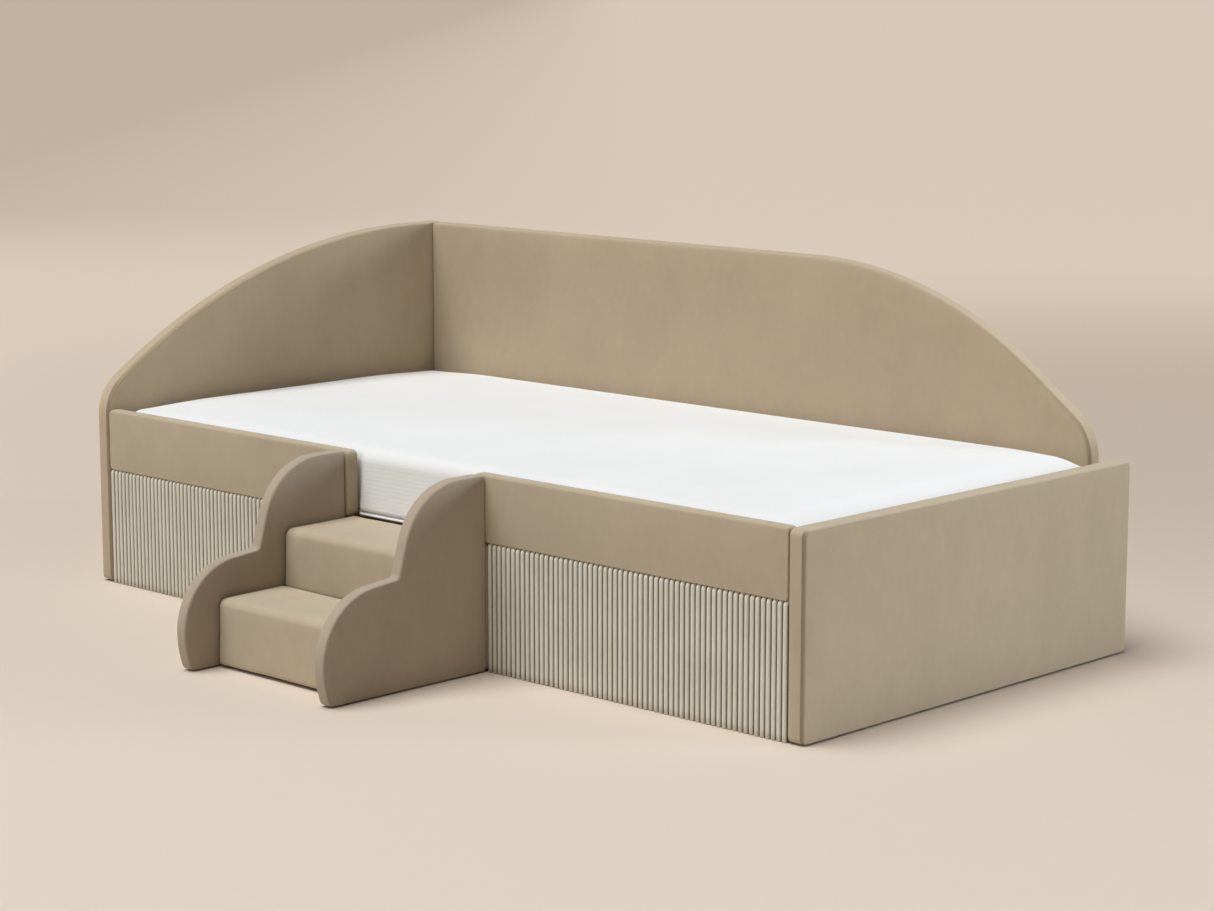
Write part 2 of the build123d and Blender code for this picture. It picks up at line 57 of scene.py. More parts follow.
# Sizes in metres, read from the solids where a box gives them
SIDES = ("left", "right")
UNDER = 0.0005  # covers reach this far below the boards inside them
HEAD, FOOT, BACK_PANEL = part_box("head_pad"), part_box("foot_pad"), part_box("back_pad")
RAILS = {side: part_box("rail_pad_" + side) for side in SIDES}
FLUTES = {side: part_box("fluted_panel_" + side) for side in SIDES}
CHEEKS = {side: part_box("stair_cheek_pad_" + side) for side in SIDES}
LOWER_STEP, UPPER_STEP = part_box("lower_step_pad"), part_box("upper_step_pad")
MATTRESS, MATTRESS_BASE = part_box("mattress_cover"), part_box("mattress_base")
ENTRY_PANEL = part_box("entry_panel")
FRONT, BACK = HEAD[0].y, HEAD[1].y
INNER = FOOT[0].x
BOTTOM, PANEL_TOP = HEAD[0].z - UNDER, HEAD[1].z
STAIR_BACK = CHEEKS["left"][1].y

# Head, back and foot panels
EDGE_R = 0.007
CORNER_R = 0.0105
FOOT_CORNER_R = 0.014
BOTTOM_R = 0.0105
HEAD_SHOULDER_R = 0.100
HEAD_RUN = 0.900  # from the front edge to the level top of the arch
HEAD_ARC = 1.465
BACK_LEVEL_END = 0.198  # x where the level top ends
BACK_ARC = 0.966
BACK_SLOPE = math.radians(36.7)
BACK_END = 0.920  # x where the slope ends, above a shelf behind the foot panel
BACK_SHOULDER_R = 0.110
BACK_SHELF_Z = 0.345

# Rails, and the plain panel behind the stair
RAIL_R = 0.006
RAIL_CORNER_R = 0.0095
ENTRY_FACE_R = 0.003
ENTRY_BACK_R = 0.002
NOTCH_Z = 0.205
NOTCH_CLEAR = 0.002

# Stair; the lobes' centres are measured from its back and the floor
LOW_LOBE = (-0.270, 0.076)
LOW_R = 0.132
TOE_R = 0.200
HIGH_LOBE = (-0.065, 0.242)
HIGH_R = 0.138
NECK_LEAN = math.radians(16)
SHELF_FALL = math.radians(5)
NOTCH_R = 0.013
CHEEK_EDGE_R = 0.004
STEP_PAD = 0.020
STEP_EDGE_R = 0.018
STEP_END_R = 0.006
STEP_BACK_R = 0.010
TONGUE_DROP = 0.035  # the upper tread's cover goes this far down behind it
RISER_TUCK = 0.012  # the upper riser's cover goes down behind the lower tread

# Mattress
MATTRESS_CORNER_R = 0.034
MATTRESS_CLEAR = 0.003  # gap left to the panels round it
MATTRESS_EDGE_R = 0.028
MATTRESS_FOOT_R = 0.002
MATTRESS_DEPTH = MATTRESS[1].z - MATTRESS[0].z
BASE_EDGE_R = 0.001
BORDER_SEAM = 0.0065  # height of the border seam above the lower edge
BORDER_DEPTH = 0.009
BORDER_WIDTH = 0.002
CROWN_EDGE = (0.22, 0.006)  # how far in from its edges the top starts to fall, and by how much
CROWN_FOOT = (0.10, 0.016)
ENTRY_BULGE = 0.019
ENTRY_BULGE_BLEND = 0.008
ENTRY_CLEAR = 0.0015
ENTRY_HALF = RAILS["right"][0].x - ENTRY_CLEAR

# Mesh density and padding
MESH_STEP = 0.012
FILL_STEP = 0.024  # grid inside a pad's faces
FILL_CLEAR = 0.6  # share of the grid's step that stays free along the edge
ARC_TURN = math.radians(11)
BAND_STEP = 0.006  # rings along the bands of the panels, rails and cheeks
STEP_BAND_STEP = 0.013
MATTRESS_BAND_STEP = 0.012
THIN_BAND_STEP = 0.004
RIM_MARGIN = 0.003  # flat border inside the rounding
STEP_MARGIN = 0.002
THIN_MARGIN = 0.001
SWELL = 0.0015  # a cover starts this much inside its size and is blown up to it
SWELL_CAP = 0.002
SEAM_DEPTH = 0.0008
SEAM_WIDTH = 0.001
RIM_TURNS = 6
FACE_RING = 2  # ring of a pad where its flat face starts
SEWN_RING = FACE_RING + RIM_TURNS  # ring where the rounding meets the band
LEVEL_FADE = 4  # power by which the painted shade on an edge fades where the edge is level
CRISP = 0.25  # crisp sides are rounded by this share of the other edges
UNDERSIDE = (0, 1)  # inward directions of the sides that can be crisp
STAIR_REAR = (-1, 0)
ENDS = ((1, 0), (-1, 0))
SHARP_TURN = 0.5  # cosine of the turn above which an outline counts as smooth
SAME_POINT = 1e-6
CDT_EPSILON = 1e-7
TINY = 1e-9
CLOTH_FRAMES = 20
CLOTH_QUALITY = 4
CLOTH_MASS = 0.3
CLOTH_STIFFNESS = 15
PRESSURE = 6.0

# Fluted panels
FLUTE_COUNT = 59
FLUTE_COLUMNS = 12
FLUTE_ROWS = 18
DOME_ROWS = 6
FLUTE_DOME = 0.009
FLUTE_FLOOR = 0.001
FLUTE_ROUND = 2.15  # 2 is a round channel, more is flatter in front
FLUTE_SLACK = 0.0003
FLUTE_BACKING = 0.0008
FLUTE_PLUMPNESS = (0.93, 1.0)
FLUTE_SWAY = 0.00025
FLUTE_SWAY_RATE = (18, 36)  # radians in a metre of height


# Outlines


def arc(centre, radius, start, end):
    """Points along a circle between two angles."""
    turn = abs(end - start)
    count = max(math.ceil(turn / ARC_TURN), math.ceil(turn * radius / MESH_STEP), 1)
    turns = [start + (end - start) * i / count for i in range(count + 1)]
    return [(centre[0] + radius * math.cos(a), centre[1] + radius * math.sin(a)) for a in turns]


def rounded(points):
    """A closed outline: (u, v) points stay, (u, v, r) points become round corners."""
    made = []
    for i, point in enumerate(points):
        if len(point) == 2:
            made.append(point)
            continue
        radius = point[2]
        here = Vector(point[:2])
        to_last = (Vector(points[i - 1][:2]) - here).normalized()
        to_next = (Vector(points[(i + 1) % len(points)][:2]) - here).normalized()
        half = to_last.angle(to_next) / 2
        centre = here + (to_last + to_next).normalized() * radius / math.sin(half)
        start = here + to_last * radius / math.tan(half) - centre
        turn = math.pi - 2 * half
        side = 1 if to_last.x * to_next.y - to_last.y * to_next.x < 0 else -1
        first = math.atan2(start.y, start.x)
        made += arc(centre, radius, first, first + side * turn)
    after = made[1:] + made[:1]
    return np.array([p for p, q in zip(made, after) if math.dist(p, q) > SAME_POINT])


def divide(corners, counts):
    """Points along a closed outline, each run cut into its own count of even parts."""
    ends = np.roll(corners, -1, axis=0)
    parts = [a + (b - a) * np.arange(n)[:, None] / n for a, b, n in zip(corners, ends, counts)]
    return np.vstack(parts)


def inset(outline, distance, crisp):
    """The outline moved inwards by a distance, and by a share of it along its crisp sides."""
    run = np.roll(outline, -1, axis=0) - outline
    run = run / np.linalg.norm(run, axis=1)[:, None]
    normal = np.stack([-run[:, 1], run[:, 0]], 1)
    facing = np.clip(normal @ np.array(crisp).reshape(-1, 2).T, 0, 1).max(1, initial=0)
    by = distance * (1 - (1 - CRISP) * facing**2)
    last, last_by = np.roll(normal, 1, axis=0), np.roll(by, 1)
    even = (last * normal).sum(1)
    turn = np.maximum(1 - even**2, TINY)
    last_share, share = (last_by - even * by) / turn, (by - even * last_by) / turn
    mitred = last * last_share[:, None] + normal * share[:, None]
    smooth = (last + normal) * ((by + last_by) / 2 / (1 + even))[:, None]
    return outline + np.where(even[:, None] > SHARP_TURN, smooth, mitred)


def head_outline():
    """A quarter arch that rises from a round shoulder at the front to the back."""
    centre = (FRONT + HEAD_RUN, PANEL_TOP - HEAD_ARC)
    reach = HEAD_ARC - HEAD_SHOULDER_R
    shoulder_y = FRONT + HEAD_SHOULDER_R
    shoulder = (shoulder_y, centre[1] + math.sqrt(reach**2 - (shoulder_y - centre[0]) ** 2))
    meet = math.atan2(shoulder[1] - centre[1], shoulder[0] - centre[0])
    base = [(FRONT, BOTTOM, BOTTOM_R), (BACK, BOTTOM, BOTTOM_R), (BACK, PANEL_TOP, CORNER_R)]
    arch = arc(centre, HEAD_ARC, math.pi / 2, meet)
    arch += arc(shoulder, HEAD_SHOULDER_R, meet, math.pi)[1:]
    return rounded(base + arch)


def back_outline():
    """A level top, a curve down to a slope, a round shoulder and a low shelf at the foot."""
    low, high = BACK_PANEL
    centre = (BACK_LEVEL_END, PANEL_TOP - BACK_ARC)
    arch = arc(centre, BACK_ARC, math.pi / 2 - BACK_SLOPE, math.pi / 2)
    shoulder_z = arch[0][1] - (BACK_END - arch[0][0]) * math.tan(BACK_SLOPE)
    base = [
        (low.x, BOTTOM, BOTTOM_R),
        (high.x, BOTTOM, BOTTOM_R),
        (high.x, BACK_SHELF_Z, BOTTOM_R),
        (BACK_END, BACK_SHELF_Z, BOTTOM_R),
        (BACK_END, shoulder_z, BACK_SHOULDER_R),
    ]
    return rounded(base + arch + [(low.x, PANEL_TOP, CORNER_R)])


def foot_outline():
    """A low plain panel."""
    front, back, top = FOOT[0].y, FOOT[1].y, FOOT[1].z
    base = [(front, BOTTOM, BOTTOM_R), (back, BOTTOM, BOTTOM_R)]
    return rounded(base + [(back, top, FOOT_CORNER_R), (front, top, FOOT_CORNER_R)])


def rail_outline(side):
    """One length of the rail, from an end panel to the entry."""
    low, high = RAILS[side]
    left, right = (-INNER, high.x) if side == "left" else (low.x, INNER)
    r = RAIL_CORNER_R
    return rounded([(left, low.z), (right, low.z), (right, high.z, r), (left, high.z, r)])


def cheek_outline():
    """Two round lobes, a leaning neck and a sloping shelf, drawn from the stair's back."""
    toe_centre = (LOW_LOBE[0] - LOW_R + TOE_R, LOW_LOBE[1])
    toe_end = math.pi + math.asin((LOW_LOBE[1] - BOTTOM) / TOE_R)
    high = arc(HIGH_LOBE, HIGH_R, math.pi / 2, math.pi - NECK_LEAN)
    low = arc(LOW_LOBE, LOW_R, math.pi / 2 + SHELF_FALL, math.pi)
    low += arc(toe_centre, TOE_R, math.pi, toe_end)[1:]
    neck = Vector((math.sin(NECK_LEAN), math.cos(NECK_LEAN)))
    shelf = Vector((math.cos(SHELF_FALL), math.sin(SHELF_FALL)))
    gap = Vector(high[-1]) - Vector(low[0])
    notch = Vector(low[0]) + shelf * (gap.cross(neck) / shelf.cross(neck))
    outline = [(0, BOTTOM), (0, HIGH_LOBE[1] + HIGH_R)] + high + [(*notch, NOTCH_R)] + low
    return rounded(outline) + np.array([STAIR_BACK, 0])


def lower_step_outline():
    """A riser and a tread in one, seen from the side."""
    low, high = LOWER_STEP
    under, inner = high.z - STEP_PAD, low.y + STEP_PAD
    return rounded([
        (low.y, low.z, STEP_BACK_R),
        (inner, low.z),
        (inner, under, STEP_END_R),
        (high.y, under),
        (high.y, high.z),
        (low.y, high.z, STEP_EDGE_R),
    ])


def upper_step_outline():
    """A riser and a tread in one, with a tongue down behind the tread."""
    low, high = UPPER_STEP
    under, inner, wrap = high.z - STEP_PAD, low.y + STEP_PAD, high.y - STEP_PAD
    drop, foot = high.z - TONGUE_DROP, low.z - RISER_TUCK
    return rounded([
        (low.y, foot),
        (inner, foot),
        (inner, under, STEP_END_R),
        (wrap, under, STEP_END_R),
        (wrap, drop),
        (high.y, drop),
        (high.y, high.z, STEP_BACK_R),
        (low.y, high.z, STEP_EDGE_R),
    ])


def entry_outline():
    """The plain panel behind the stair, with a notch for the upper tread."""
    low, high = ENTRY_PANEL
    inner = UPPER_STEP[1].x + NOTCH_CLEAR
    r = STEP_BACK_R
    return rounded([
        (low.x, low.z, r),
        (high.x, low.z, r),
        (high.x, high.z, r),
        (inner, high.z, r),
        (inner, NOTCH_Z, STEP_END_R),
        (-inner, NOTCH_Z, STEP_END_R),
        (-inner, high.z, r),
        (low.x, high.z, r),
    ])


def mattress_outline():
    """The space inside the panels, with points where the side swells into the entry."""
    front, r = MATTRESS[0].y, MATTRESS_CORNER_R
    end, back = INNER - MATTRESS_CLEAR, BACK_PANEL[0].y - MATTRESS_CLEAR
    inner = ENTRY_HALF - ENTRY_BULGE_BLEND
    entry = [(x, front) for x in (-ENTRY_HALF, -inner, inner, ENTRY_HALF)]
    return rounded([(-end, front, r), *entry, (end, front, r), (end, back, r), (-end, back, r)])


# Padded pieces


def rim_half(radius, margin):
    """(inset, depth, share of painted shade) of the rings from a pad's face to its band; the
    painted shade darkens the rounding.
    """
    flat = [(radius + margin, 0, 0), (radius + margin / 2, 0, 0), (radius, 0, 0)]
    rounding = []
    for k in range(RIM_TURNS):
        share = (k + 1) / RIM_TURNS
        a = math.pi / 2 * share
        rounding.append((radius * (1 - math.sin(a)), radius * (1 - math.cos(a)), share))
    return flat + rounding + [(0, radius + SEAM_WIDTH, 0)]


def rim(thickness, first_r, second_r, band_step, margin=RIM_MARGIN):
    """Rings of a pad from its first face round the edge to its second."""
    first, second = rim_half(first_r, margin), rim_half(second_r, margin)
    band = thickness - first_r - second_r - 2 * SEAM_WIDTH
    count = max(1, round(band / band_step))
    between = [(0, first_r + SEAM_WIDTH + band * i / count, 0) for i in range(1, count)]
    return first + between + [(d, thickness - t, c) for d, t, c in reversed(second)]


def inner_points(loop, step):
    """Points on a staggered grid inside a loop, clear of its edge."""
    low, high = loop.min(0), loop.max(0)
    rows = np.arange(low[1] + step / 2, high[1], step)
    grid = [(x + (step / 2 if k % 2 else 0), y) for k, y in enumerate(rows)
            for x in np.arange(low[0] + step / 4, high[0], step)]
    points = np.array(grid)
    start, end = loop, np.roll(loop, -1, axis=0)
    run = end - start
    away = points[:, None, :] - start[None]
    share = np.clip((away * run).sum(2) / (run**2).sum(1), 0, 1)
    distance = np.linalg.norm(away - share[..., None] * run, axis=2).min(1)
    crosses = (start[:, 1] > points[:, 1:2]) != (end[:, 1] > points[:, 1:2])
    rise = np.where(np.abs(run[:, 1]) < TINY, TINY, run[:, 1])
    hit = start[:, 0] + (points[:, 1:2] - start[:, 1]) * run[:, 0] / rise
    inside = (crosses & (points[:, 0:1] < hit)).sum(1) % 2 == 1
    return points[inside & (distance > step * FILL_CLEAR)]


def closed_piece(name, points, faces):
    """A smooth object from points and faces, with every face turned outwards."""
    mesh = bpy.data.meshes.new(name)
    mesh.from_pydata(points, [], faces)
    turned = bmesh.new()
    turned.from_mesh(mesh)
    bmesh.ops.recalc_face_normals(turned, faces=turned.faces)
    turned.to_mesh(mesh)
    turned.free()
    mesh.shade_smooth()
    piece = bpy.data.objects.new(name, mesh)
    bpy.context.scene.collection.objects.link(piece)
    return piece


def write_painted_shade(piece, values):
    """Keeps the painted shade at each point, a darkening that stands in for shade, for the
    materials.
    """
    piece.data.attributes.new("painted_shade", "FLOAT", "POINT").data.foreach_set("value", values)


def fill_face(loop, ring, depth, place, points):
    """Faces of an even mesh inside a ring; the points inside are added to the list."""
    count = len(loop)
    flat = [Vector(p) for p in np.vstack([loop, inner_points(loop, FILL_STEP)])]
    found = delaunay_2d_cdt(flat, [], [list(range(count))], 1, CDT_EPSILON)
    index = {}
    for new, old in enumerate(found[3]):
        source = old[0]
        if source < count:
            index[new] = ring * count + source
        else:
            index[new] = len(points)
            points.append(place(*flat[source], depth))
    return [tuple(index[v] for v in face) for face in found[2]]


def pad(name, outline, rings, place, crisp=(), swell=SWELL, slack=0.0, shade_paint=(0, 0)):
    """A closed soft form: rings of the outline round its edge, both faces filled with a mesh.

    The faces start inside their final place by the swell, and the outline by the slack.
    Painted shade darkens the rounding of steep edges, by a share at the first and second face."""
    runs = np.linalg.norm(np.roll(outline, -1, axis=0) - outline, axis=1)
    counts = [max(1, math.ceil(run / MESH_STEP - 0.5)) for run in runs]
    count, last = sum(counts), len(rings) - 1
    loops = [divide(inset(outline, slack + d, crisp), counts) for d, _, _ in rings]
    thickness = rings[-1][1]
    depths = [swell + t * (thickness - 2 * swell) / thickness for _, t, _ in rings]
    points = [place(u, v, t) for loop, t in zip(loops, depths) for u, v in loop]
    faces = []
    for j in range(last):
        here, after = j * count, (j + 1) * count
        for i in range(count):
            k = (i + 1) % count
            faces.append((here + i, here + k, after + k, after + i))
    for ring in (0, last):
        faces += fill_face(loops[ring], ring, depths[ring], place, points)
    piece = closed_piece(name, points, faces)
    outward = loops[SEWN_RING] - loops[FACE_RING]
    rise = np.clip(outward[:, 1] / np.linalg.norm(outward, axis=1), 0, 1)
    first, second = shade_paint
    # painted shade on each ring, by the share of the first or the second face
    ring_shade = [c * (second if 2 * k > len(rings) else first) for k, (_, _, c) in enumerate(rings)]
    painted_shade = np.zeros(len(points), np.float32)
    painted_shade[:len(rings) * count] = np.outer(ring_shade, 1 - rise**LEVEL_FADE).ravel()
    write_painted_shade(piece, painted_shade)
    return piece, count


def coordinates(mesh):
    """The places of a mesh's points."""
    flat = np.zeros(len(mesh.vertices) * 3, np.float32)
    mesh.vertices.foreach_get("co", flat)
    return flat.reshape(-1, 3).astype(float)


def normals(mesh):
    """The outward directions at a mesh's points."""
    flat = np.zeros(len(mesh.vertices) * 3, np.float32)
    mesh.vertex_normals.foreach_get("vector", flat)
    return flat.reshape(-1, 3).astype(float)


def set_coordinates(mesh, points):
    """Moves a mesh's points."""
    mesh.vertices.foreach_set("co", points.astype(np.float32).ravel())
    mesh.update()


def hold(piece, rows):
    """Marks the vertices of an edge that is stitched or stapled down."""
    piece.vertex_groups.new(name="held").add(list(rows), 1.0, "REPLACE")


def blow_up(pieces):
    """Puffs up all covers together with cloth under pressure, from the edges that are held."""
    scene = bpy.context.scene
    for piece in pieces:
        cloth = piece.modifiers.new("cloth", "CLOTH")
        cloth.settings.quality = CLOTH_QUALITY
        cloth.settings.mass = CLOTH_MASS
        cloth.settings.tension_stiffness = CLOTH_STIFFNESS
        cloth.settings.compression_stiffness = CLOTH_STIFFNESS
        cloth.settings.use_pressure = True
        cloth.settings.uniform_pressure_force = PRESSURE
        if "held" in piece.vertex_groups:
            cloth.settings.vertex_group_mass = "held"
        cloth.settings.effector_weights.gravity = 0
        cloth.collision_settings.use_collision = False
        cloth.point_cache.frame_end = CLOTH_FRAMES
    for number in range(1, CLOTH_FRAMES + 1):
        scene.frame_set(number)
    graph = bpy.context.evaluated_depsgraph_get()
    for piece in pieces:
        start = coordinates(piece.data)
        shape = coordinates(piece.evaluated_get(graph).data)
        step = shape - start
        length = np.linalg.norm(step, axis=1)
        step *= (np.minimum(length, SWELL_CAP) / np.maximum(length, TINY))[:, None]
        piece.modifiers.clear()
        set_coordinates(piece.data, start + step)
    scene.frame_set(1)


def sew(piece, count, last):
    """Presses a stitched groove into the rings where a face's cloth meets the band's."""
    points = coordinates(piece.data)
    outward = normals(piece.data)
    for ring in (SEWN_RING, last - SEWN_RING):
        rows = slice(ring * count, (ring + 1) * count)
        points[rows] -= outward[rows] * SEAM_DEPTH
    set_coordinates(piece.data, points)


def ease(value, low, high):
    """A smooth step from 0 at one value to 1 at another."""
    share = np.clip((value - low) / (high - low), 0, 1)
    return share * share * (3 - 2 * share)


def crown(piece):
    """The mattress top falls away a little towards its edges, and more at the foot end."""
    points = coordinates(piece.data)
    low, high = MATTRESS
    x, y, z = points.T
    edges = [(away, *CROWN_EDGE) for away in (x - low.x, high.x - x, y - low.y, high.y - y)]
    edges.append((high.x - x, *CROWN_FOOT))
    drop = sum(by * (1 - ease(away, 0, run)) for away, run, by in edges)
    points[:, 2] -= drop * np.clip((z - low.z) / (high.z - low.z), 0, 1)
    set_coordinates(piece.data, points)


def bulge_into_entry(piece):
    """The mattress side swells into the opening between the rails, most at its lower edge."""
    points = coordinates(piece.data)
    x, y, z = points.T
    low, high = MATTRESS
    share = 1 - ease(np.abs(x), ENTRY_HALF - ENTRY_BULGE_BLEND, ENTRY_HALF)
    share *= 1 - np.clip((z - low.z) / (high.z - low.z), 0, 1)
    share *= 1 - ease(y, low.y, low.y + MATTRESS_EDGE_R)
    points[:, 1] -= ENTRY_BULGE * share
    set_coordinates(piece.data, points)


def across(x):
    """Place of a pad whose thickness runs along +X."""
    return lambda u, v, t: (x + t, u, v)


def along(y):
    """Place of a pad whose thickness runs along +Y."""
    return lambda u, v, t: (u, y + t, v)


def downward(z):
    """Place of a pad whose thickness runs down."""
    return lambda u, v, t: (u, v, z - t)


# Flutes


def grid_edge(width, rows):
    """The points round the edge of a grid that is numbered row by row."""
    edge = list(range(width)) + [r * width + width - 1 for r in range(1, rows)]
    edge += [(rows - 1) * width + c for c in range(width - 2, -1, -1)]
    return edge + [r * width for r in range(rows - 2, 0, -1)]


def fluted(name, low, high, seed):
    """Stuffed round channels side by side, each closed with a dome at its top."""
    draw = random.Random(seed)
    pitch = (high.x - low.x) / FLUTE_COUNT
    full = high.y - low.y - FLUTE_SLACK
    run = high.z - low.z - FLUTE_DOME
    domes = [math.sin(math.pi / 2 * k / DOME_ROWS) for k in range(DOME_ROWS + 1)]
    levels = [run * k / FLUTE_ROWS for k in range(FLUTE_ROWS)]
    levels += [run + FLUTE_DOME * dome for dome in domes]
    shares = [(1 - math.cos(math.pi * k / FLUTE_COLUMNS)) / 2 for k in range(FLUTE_COLUMNS)]
    columns = [(i, share) for i in range(FLUTE_COUNT) for share in shares]
    columns.append((FLUTE_COUNT - 1, 1.0))
    spans = (FLUTE_PLUMPNESS, (0, math.tau), FLUTE_SWAY_RATE)
    ribs = [[draw.uniform(*span) for span in spans] for _ in range(FLUTE_COUNT)]
    points, painted_shade = [], []
    for h in levels:
        to_tip = max(0, h - run) / FLUTE_DOME
        for i, share in columns:
            plump, phase, rate = ribs[i]
            channel = 1 - abs(2 * share - 1) ** FLUTE_ROUND
            swelling = math.sqrt(max(0, channel - to_tip**2))
            sway = FLUTE_SWAY * math.sin(h * rate + phase) * math.sin(math.pi * share)
            depth = FLUTE_BACKING + (full - FLUTE_BACKING) * plump * swelling
            points.append((low.x + (i + share) * pitch + sway, high.y - depth, low.z + h))
            # painted shade, darkest in the valleys between the channels
            painted_shade.append(1 - math.sqrt(channel))
    width, rows = len(columns), len(levels)
    corners = [r * width + c for r in range(rows - 1) for c in range(width - 1)]
    faces = [(v, v + 1, v + width + 1, v + width) for v in corners]
    edge = grid_edge(width, rows)
    behind = [len(points) + i for i in range(len(edge))]
    points += [(points[v][0], high.y, points[v][2]) for v in edge]
    # painted shade, full on the backing round the edge
    painted_shade += [1.0] * len(edge)
    for i, v in enumerate(edge):
        k = (i + 1) % len(edge)
        faces.append((v, behind[i], behind[k], edge[k]))
    faces.append(tuple(behind))
    piece = closed_piece(name, points, faces)
    write_painted_shade(piece, painted_shade)
    return piece


# Shader nodes

WHITE = (1, 1, 1, 1)
WAVE_TURN = 20  # radians that Blender's wave texture turns in one unit


def tone(red, green, blue):
    """An sRGB colour, 0 to 255, as Blender's linear one."""
    parts = [c / 255 for c in (red, green, blue)]
    linear = [c / 12.92 if c <= 0.04045 else ((c + 0.055) / 1.055) ** 2.4 for c in parts]
    return (*linear, 1.0)


def grey(value):
    """A linear grey, which is a plain number on a value socket."""
    return (value, value, value, 1)


def node(tree, kind, inputs=None, **settings):
    """A shader node with its settings, and its sockets set or linked."""
    made = tree.nodes.new("ShaderNode" + kind)
    for key, value in settings.items():
        setattr(made, key, value)
    for socket, value in (inputs or {}).items():
        if isinstance(value, bpy.types.NodeSocket):
            tree.links.new(value, made.inputs[socket])
        else:
            made.inputs[socket].default_value = value
    return made


def start_material(name, **sockets):
    """A Principled material with constant sockets; gives its tree, shader and coordinates."""
    made = bpy.data.materials.new(name)
    made.use_nodes = True
    tree = made.node_tree
    shader = tree.nodes["Principled BSDF"]
    for socket, value in sockets.items():
        shader.inputs[socket.replace("_", " ")].default_value = value
    return made, tree, shader, node(tree, "TexCoord").outputs["Object"]


def noise(tree, coords, scale, detail=2.0, stretch=(1, 1, 1)):
    """Soft noise, drawn out along an axis where its stretch is under 1."""
    placed = node(tree, "Mapping", {"Vector": coords, "Scale": stretch}).outputs[0]
    inputs = {"Vector": placed, "Scale": scale, "Detail": detail}
    return node(tree, "TexNoise", inputs).outputs["Fac"]


def waves(tree, coords, pitch, direction):
    """Even threads across one direction, about one pitch apart."""
    inputs = {
        "Vector": coords,
        "Scale": math.tau / WAVE_TURN / pitch,
        "Distortion": 0.6,
        "Detail": 1.0,
        "Detail Scale": 2.0,
    }
    return node(tree, "TexWave", inputs, bands_direction=direction).outputs["Fac"]


def math_node(tree, operation, a, b=0.0):
    """One step of arithmetic on one or two values."""
    return node(tree, "Math", {0: a, 1: b}, operation=operation).outputs[0]


def vector_math(tree, operation, a, b=(0, 0, 0)):
    """A value worked out from one or two vectors."""
    return node(tree, "VectorMath", {0: a, 1: b}, operation=operation).outputs["Value"]


def map_range(tree, value, start, end, kind="LINEAR"):
    """How far a value has come from a start, 0, to an end, 1."""
    inputs = {"Value": value, "From Min": start, "From Max": end}
    return node(tree, "MapRange", inputs, interpolation_type=kind).outputs[0]


def weighted(tree, *parts):
    """A sum of value * weight pairs."""
    total = None
    for value, weight in parts:
        scaled = math_node(tree, "MULTIPLY", value, weight)
        total = scaled if total is None else math_node(tree, "ADD", total, scaled)
    return total


def ramp(tree, value, *stops):
    """A colour that goes from stop to stop with a value."""
    made = node(tree, "ValToRGB", {"Fac": value})
    elements = made.color_ramp.elements
    for element, (position, colour) in zip(elements, stops):
        element.position = position
        element.color = colour
    return made.outputs["Color"]


def grade(tree, shader, socket, value, *stops):
    """Sets a shader's socket from stop to stop with a value."""
    tree.links.new(ramp(tree, value, *stops), shader.inputs[socket])


def multiplied(tree, colour, tint):
    """A colour times another."""
    inputs = {"Factor": 1.0, 6: colour, 7: tint}
    return node(tree, "Mix", inputs, data_type="RGBA", blend_type="MULTIPLY").outputs[2]


def with_painted_shade(tree, pile, start, end, tint):
    """A pile colour darkened by painted shade where the painted_shade attribute is high."""
    painted_shade = node(tree, "Attribute", attribute_name="painted_shade").outputs["Fac"]
    return multiplied(tree, pile, ramp(tree, painted_shade, (start, WHITE), (end, tint)))


def bump(tree, shader, height, distance, strength):
    """Fine relief from a height."""
    made = node(tree, "Bump", {"Height": height, "Distance": distance, "Strength": strength})
    tree.links.new(made.outputs[0], shader.inputs["Normal"])


# Materials


def velvet(name, dark, light, shade_paint, sheen_tint):
    """Short pile: brushed patches, soft smudges and single tufts, with a sheen at a slant."""
    made, tree, shader, coords = start_material(
        name,
        Sheen_Weight=0.35,
        Sheen_Roughness=0.85,
        Sheen_Tint=sheen_tint,
        Specular_IOR_Level=0.1,
    )
    brushed = (1, 1, 0.6)
    patches = noise(tree, coords, scale=3.0, detail=3.0)
    smudges = noise(tree, coords, scale=13.0, detail=4.0, stretch=brushed)
    strokes = noise(tree, coords, scale=60.0, detail=3.0, stretch=brushed)
    pile = noise(tree, coords, scale=1100.0, detail=1.0)
    shade = weighted(tree, (patches, 0.33), (smudges, 0.27), (strokes, 0.15), (pile, 0.25))
    brush = ramp(tree, shade, (0.3, dark), (0.7, light))
    # painted shade darkens the pile on the rounding of steep edges
    colour = with_painted_shade(tree, brush, 0.0, 1.0, shade_paint)
    tree.links.new(colour, shader.inputs["Base Color"])
    grade(tree, shader, "Roughness", shade, (0.3, grey(0.95)), (0.7, grey(0.8)))
    height = weighted(tree, (pile, 0.3), (patches, 0.7))
    bump(tree, shader, height, distance=0.0010, strength=0.5)
    return made


def corded_velvet(name, dark, light, shade_paint):
    """Ribbed pile on the flutes: fine lines up each channel, with painted shade in the valleys
    between them.
    """
    made, tree, shader, coords = start_material(
        name, Sheen_Weight=0.2, Sheen_Roughness=0.8, Specular_IOR_Level=0.2
    )
    lines = noise(tree, coords, scale=900.0, detail=2.0, stretch=(1, 1, 0.06))
    tufts = noise(tree, coords, scale=700.0, detail=2.0)
    patches = noise(tree, coords, scale=12.0, detail=2.0)
    shade = weighted(tree, (lines, 0.4), (tufts, 0.3), (patches, 0.3))
    brush = ramp(tree, shade, (0.36, dark), (0.64, light))
    colour = with_painted_shade(tree, brush, 0.13, 0.6, shade_paint)
    tree.links.new(colour, shader.inputs["Base Color"])
    grade(tree, shader, "Roughness", shade, (0.3, grey(0.95)), (0.7, grey(0.8)))
    height = weighted(tree, (lines, 0.6), (tufts, 0.5))
    bump(tree, shader, height, distance=0.0006, strength=0.7)
    return made


